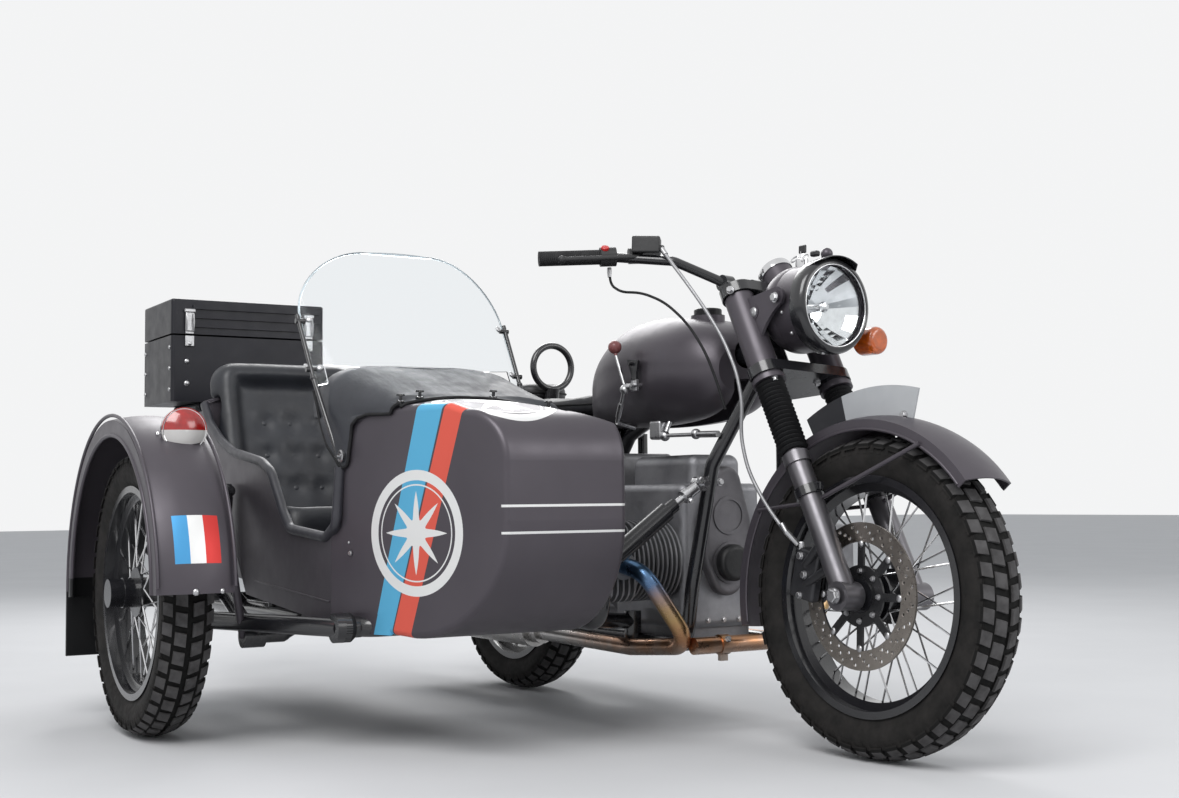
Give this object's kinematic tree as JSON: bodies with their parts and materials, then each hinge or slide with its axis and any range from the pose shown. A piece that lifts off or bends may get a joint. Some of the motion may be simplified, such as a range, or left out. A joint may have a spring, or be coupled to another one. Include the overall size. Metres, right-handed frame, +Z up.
{
  "type": "sidecar motorcycle",
  "caption": "Retro flat-twin motorcycle with wire wheels, telescopic fork and a hollow passenger sidecar carrying a lidded luggage case.",
  "frame": {"origin": "on the ground under the middle of the whole vehicle", "axes": "+X forward, +Y to the rider's left, +Z up"},
  "size_m": [2.5843, 1.638, 1.1218],
  "materials": {
    "grey_paint": "satin",
    "black_paint": "gloss",
    "cast_alloy": "cast",
    "dark_alloy": "satin",
    "bright_steel": "satin",
    "heat_tinted_steel": "satin",
    "rubber": "matte",
    "tyre": "matte",
    "black_leather": "grained",
    "black_vinyl": "matte",
    "clear_acrylic": "polished",
    "lamp_glass": "polished",
    "orange_lens": "gloss",
    "red_lens": "gloss",
    "black_plastic": "matte",
    "pale_board": "satin"
  },
  "bodies": {
    "root": {"motorcycle_frame": "black_paint", "engine_block": "cast_alloy", "gearbox": "cast_alloy", "cylinder_left": "cast_alloy", "cylinder_right": "cast_alloy", "intake": "cast_alloy", "exhaust": "heat_tinted_steel", "swing_arm": "black_paint", "rear_shocks": "black_paint", "fuel_tank": "grey_paint", "saddle_mounts": "black_paint", "rider_saddle": "black_leather", "pillion_saddle": "black_leather", "rear_mudguard": "grey_paint", "tail_lamp": "red_lens", "steering_damper": "bright_steel", "hand_lever": "bright_steel", "tub": "grey_paint", "nose": "grey_paint", "tail": "grey_paint", "cockpit_rim": "grey_paint", "cockpit_seat": "black_leather", "cowl": "black_vinyl", "windscreen": "clear_acrylic", "windscreen_stays": "black_paint", "sidecar_mudguard": "grey_paint", "sidecar_lamps": "red_lens", "sidecar_frame": "black_paint", "sidecar_struts": "black_paint", "sidecar_swing_arm": "black_paint", "step_board": "black_paint", "luggage_box": "black_paint"},
    "steering": {"steering_stem": "dark_alloy", "fork_sliders": "dark_alloy", "fork_gaiters": "rubber", "fork_covers": "grey_paint", "headlamp_shell": "grey_paint", "headlamp_lens": "lamp_glass", "handlebar": "black_paint", "grips": "rubber", "hand_controls": "black_plastic", "front_mudguard": "grey_paint", "number_board": "pale_board", "front_indicators": "orange_lens", "brake_caliper": "dark_alloy", "brake_hose": "rubber", "throttle_cable": "rubber"},
    "front_wheel_body": {"front_tyre": "tyre", "front_wheel": "black_paint", "brake_disc": "bright_steel"},
    "rear_wheel_body": {"rear_tyre": "tyre", "rear_wheel": "black_paint"},
    "sidecar_wheel_body": {"side_tyre": "tyre", "side_wheel": "black_paint"},
    "lid": {"luggage_lid": "black_paint"}
  },
  "joints": [
    {"name": "steering", "type": "hinge", "parent": "root", "child": "steering", "pos_m": [0.92485, 0.421, 0.30153], "axis": [-0.4695, 0, 0.8829], "range_deg": [-35.7, 24.3]},
    {"name": "front_wheel_spin", "type": "hinge", "parent": "steering", "child": "front_wheel_body", "pos_m": [0.96878, 0.42597, 0.32488], "axis": [-0.0877, 0.9951, -0.0466], "continuous": true},
    {"name": "rear_wheel_spin", "type": "hinge", "parent": "root", "child": "rear_wheel_body", "pos_m": [-0.522, 0.421, 0.325], "axis": [0, 1, 0], "continuous": true},
    {"name": "sidecar_wheel_spin", "type": "hinge", "parent": "root", "child": "sidecar_wheel_body", "pos_m": [-0.222, -0.723, 0.325], "axis": [0, 1, 0], "continuous": true},
    {"name": "luggage_lid", "type": "hinge", "parent": "root", "child": "lid", "pos_m": [-1.284, -0.2315, 1.005], "axis": [0, -1, 0], "range_deg": [0, 95]}
  ]
}
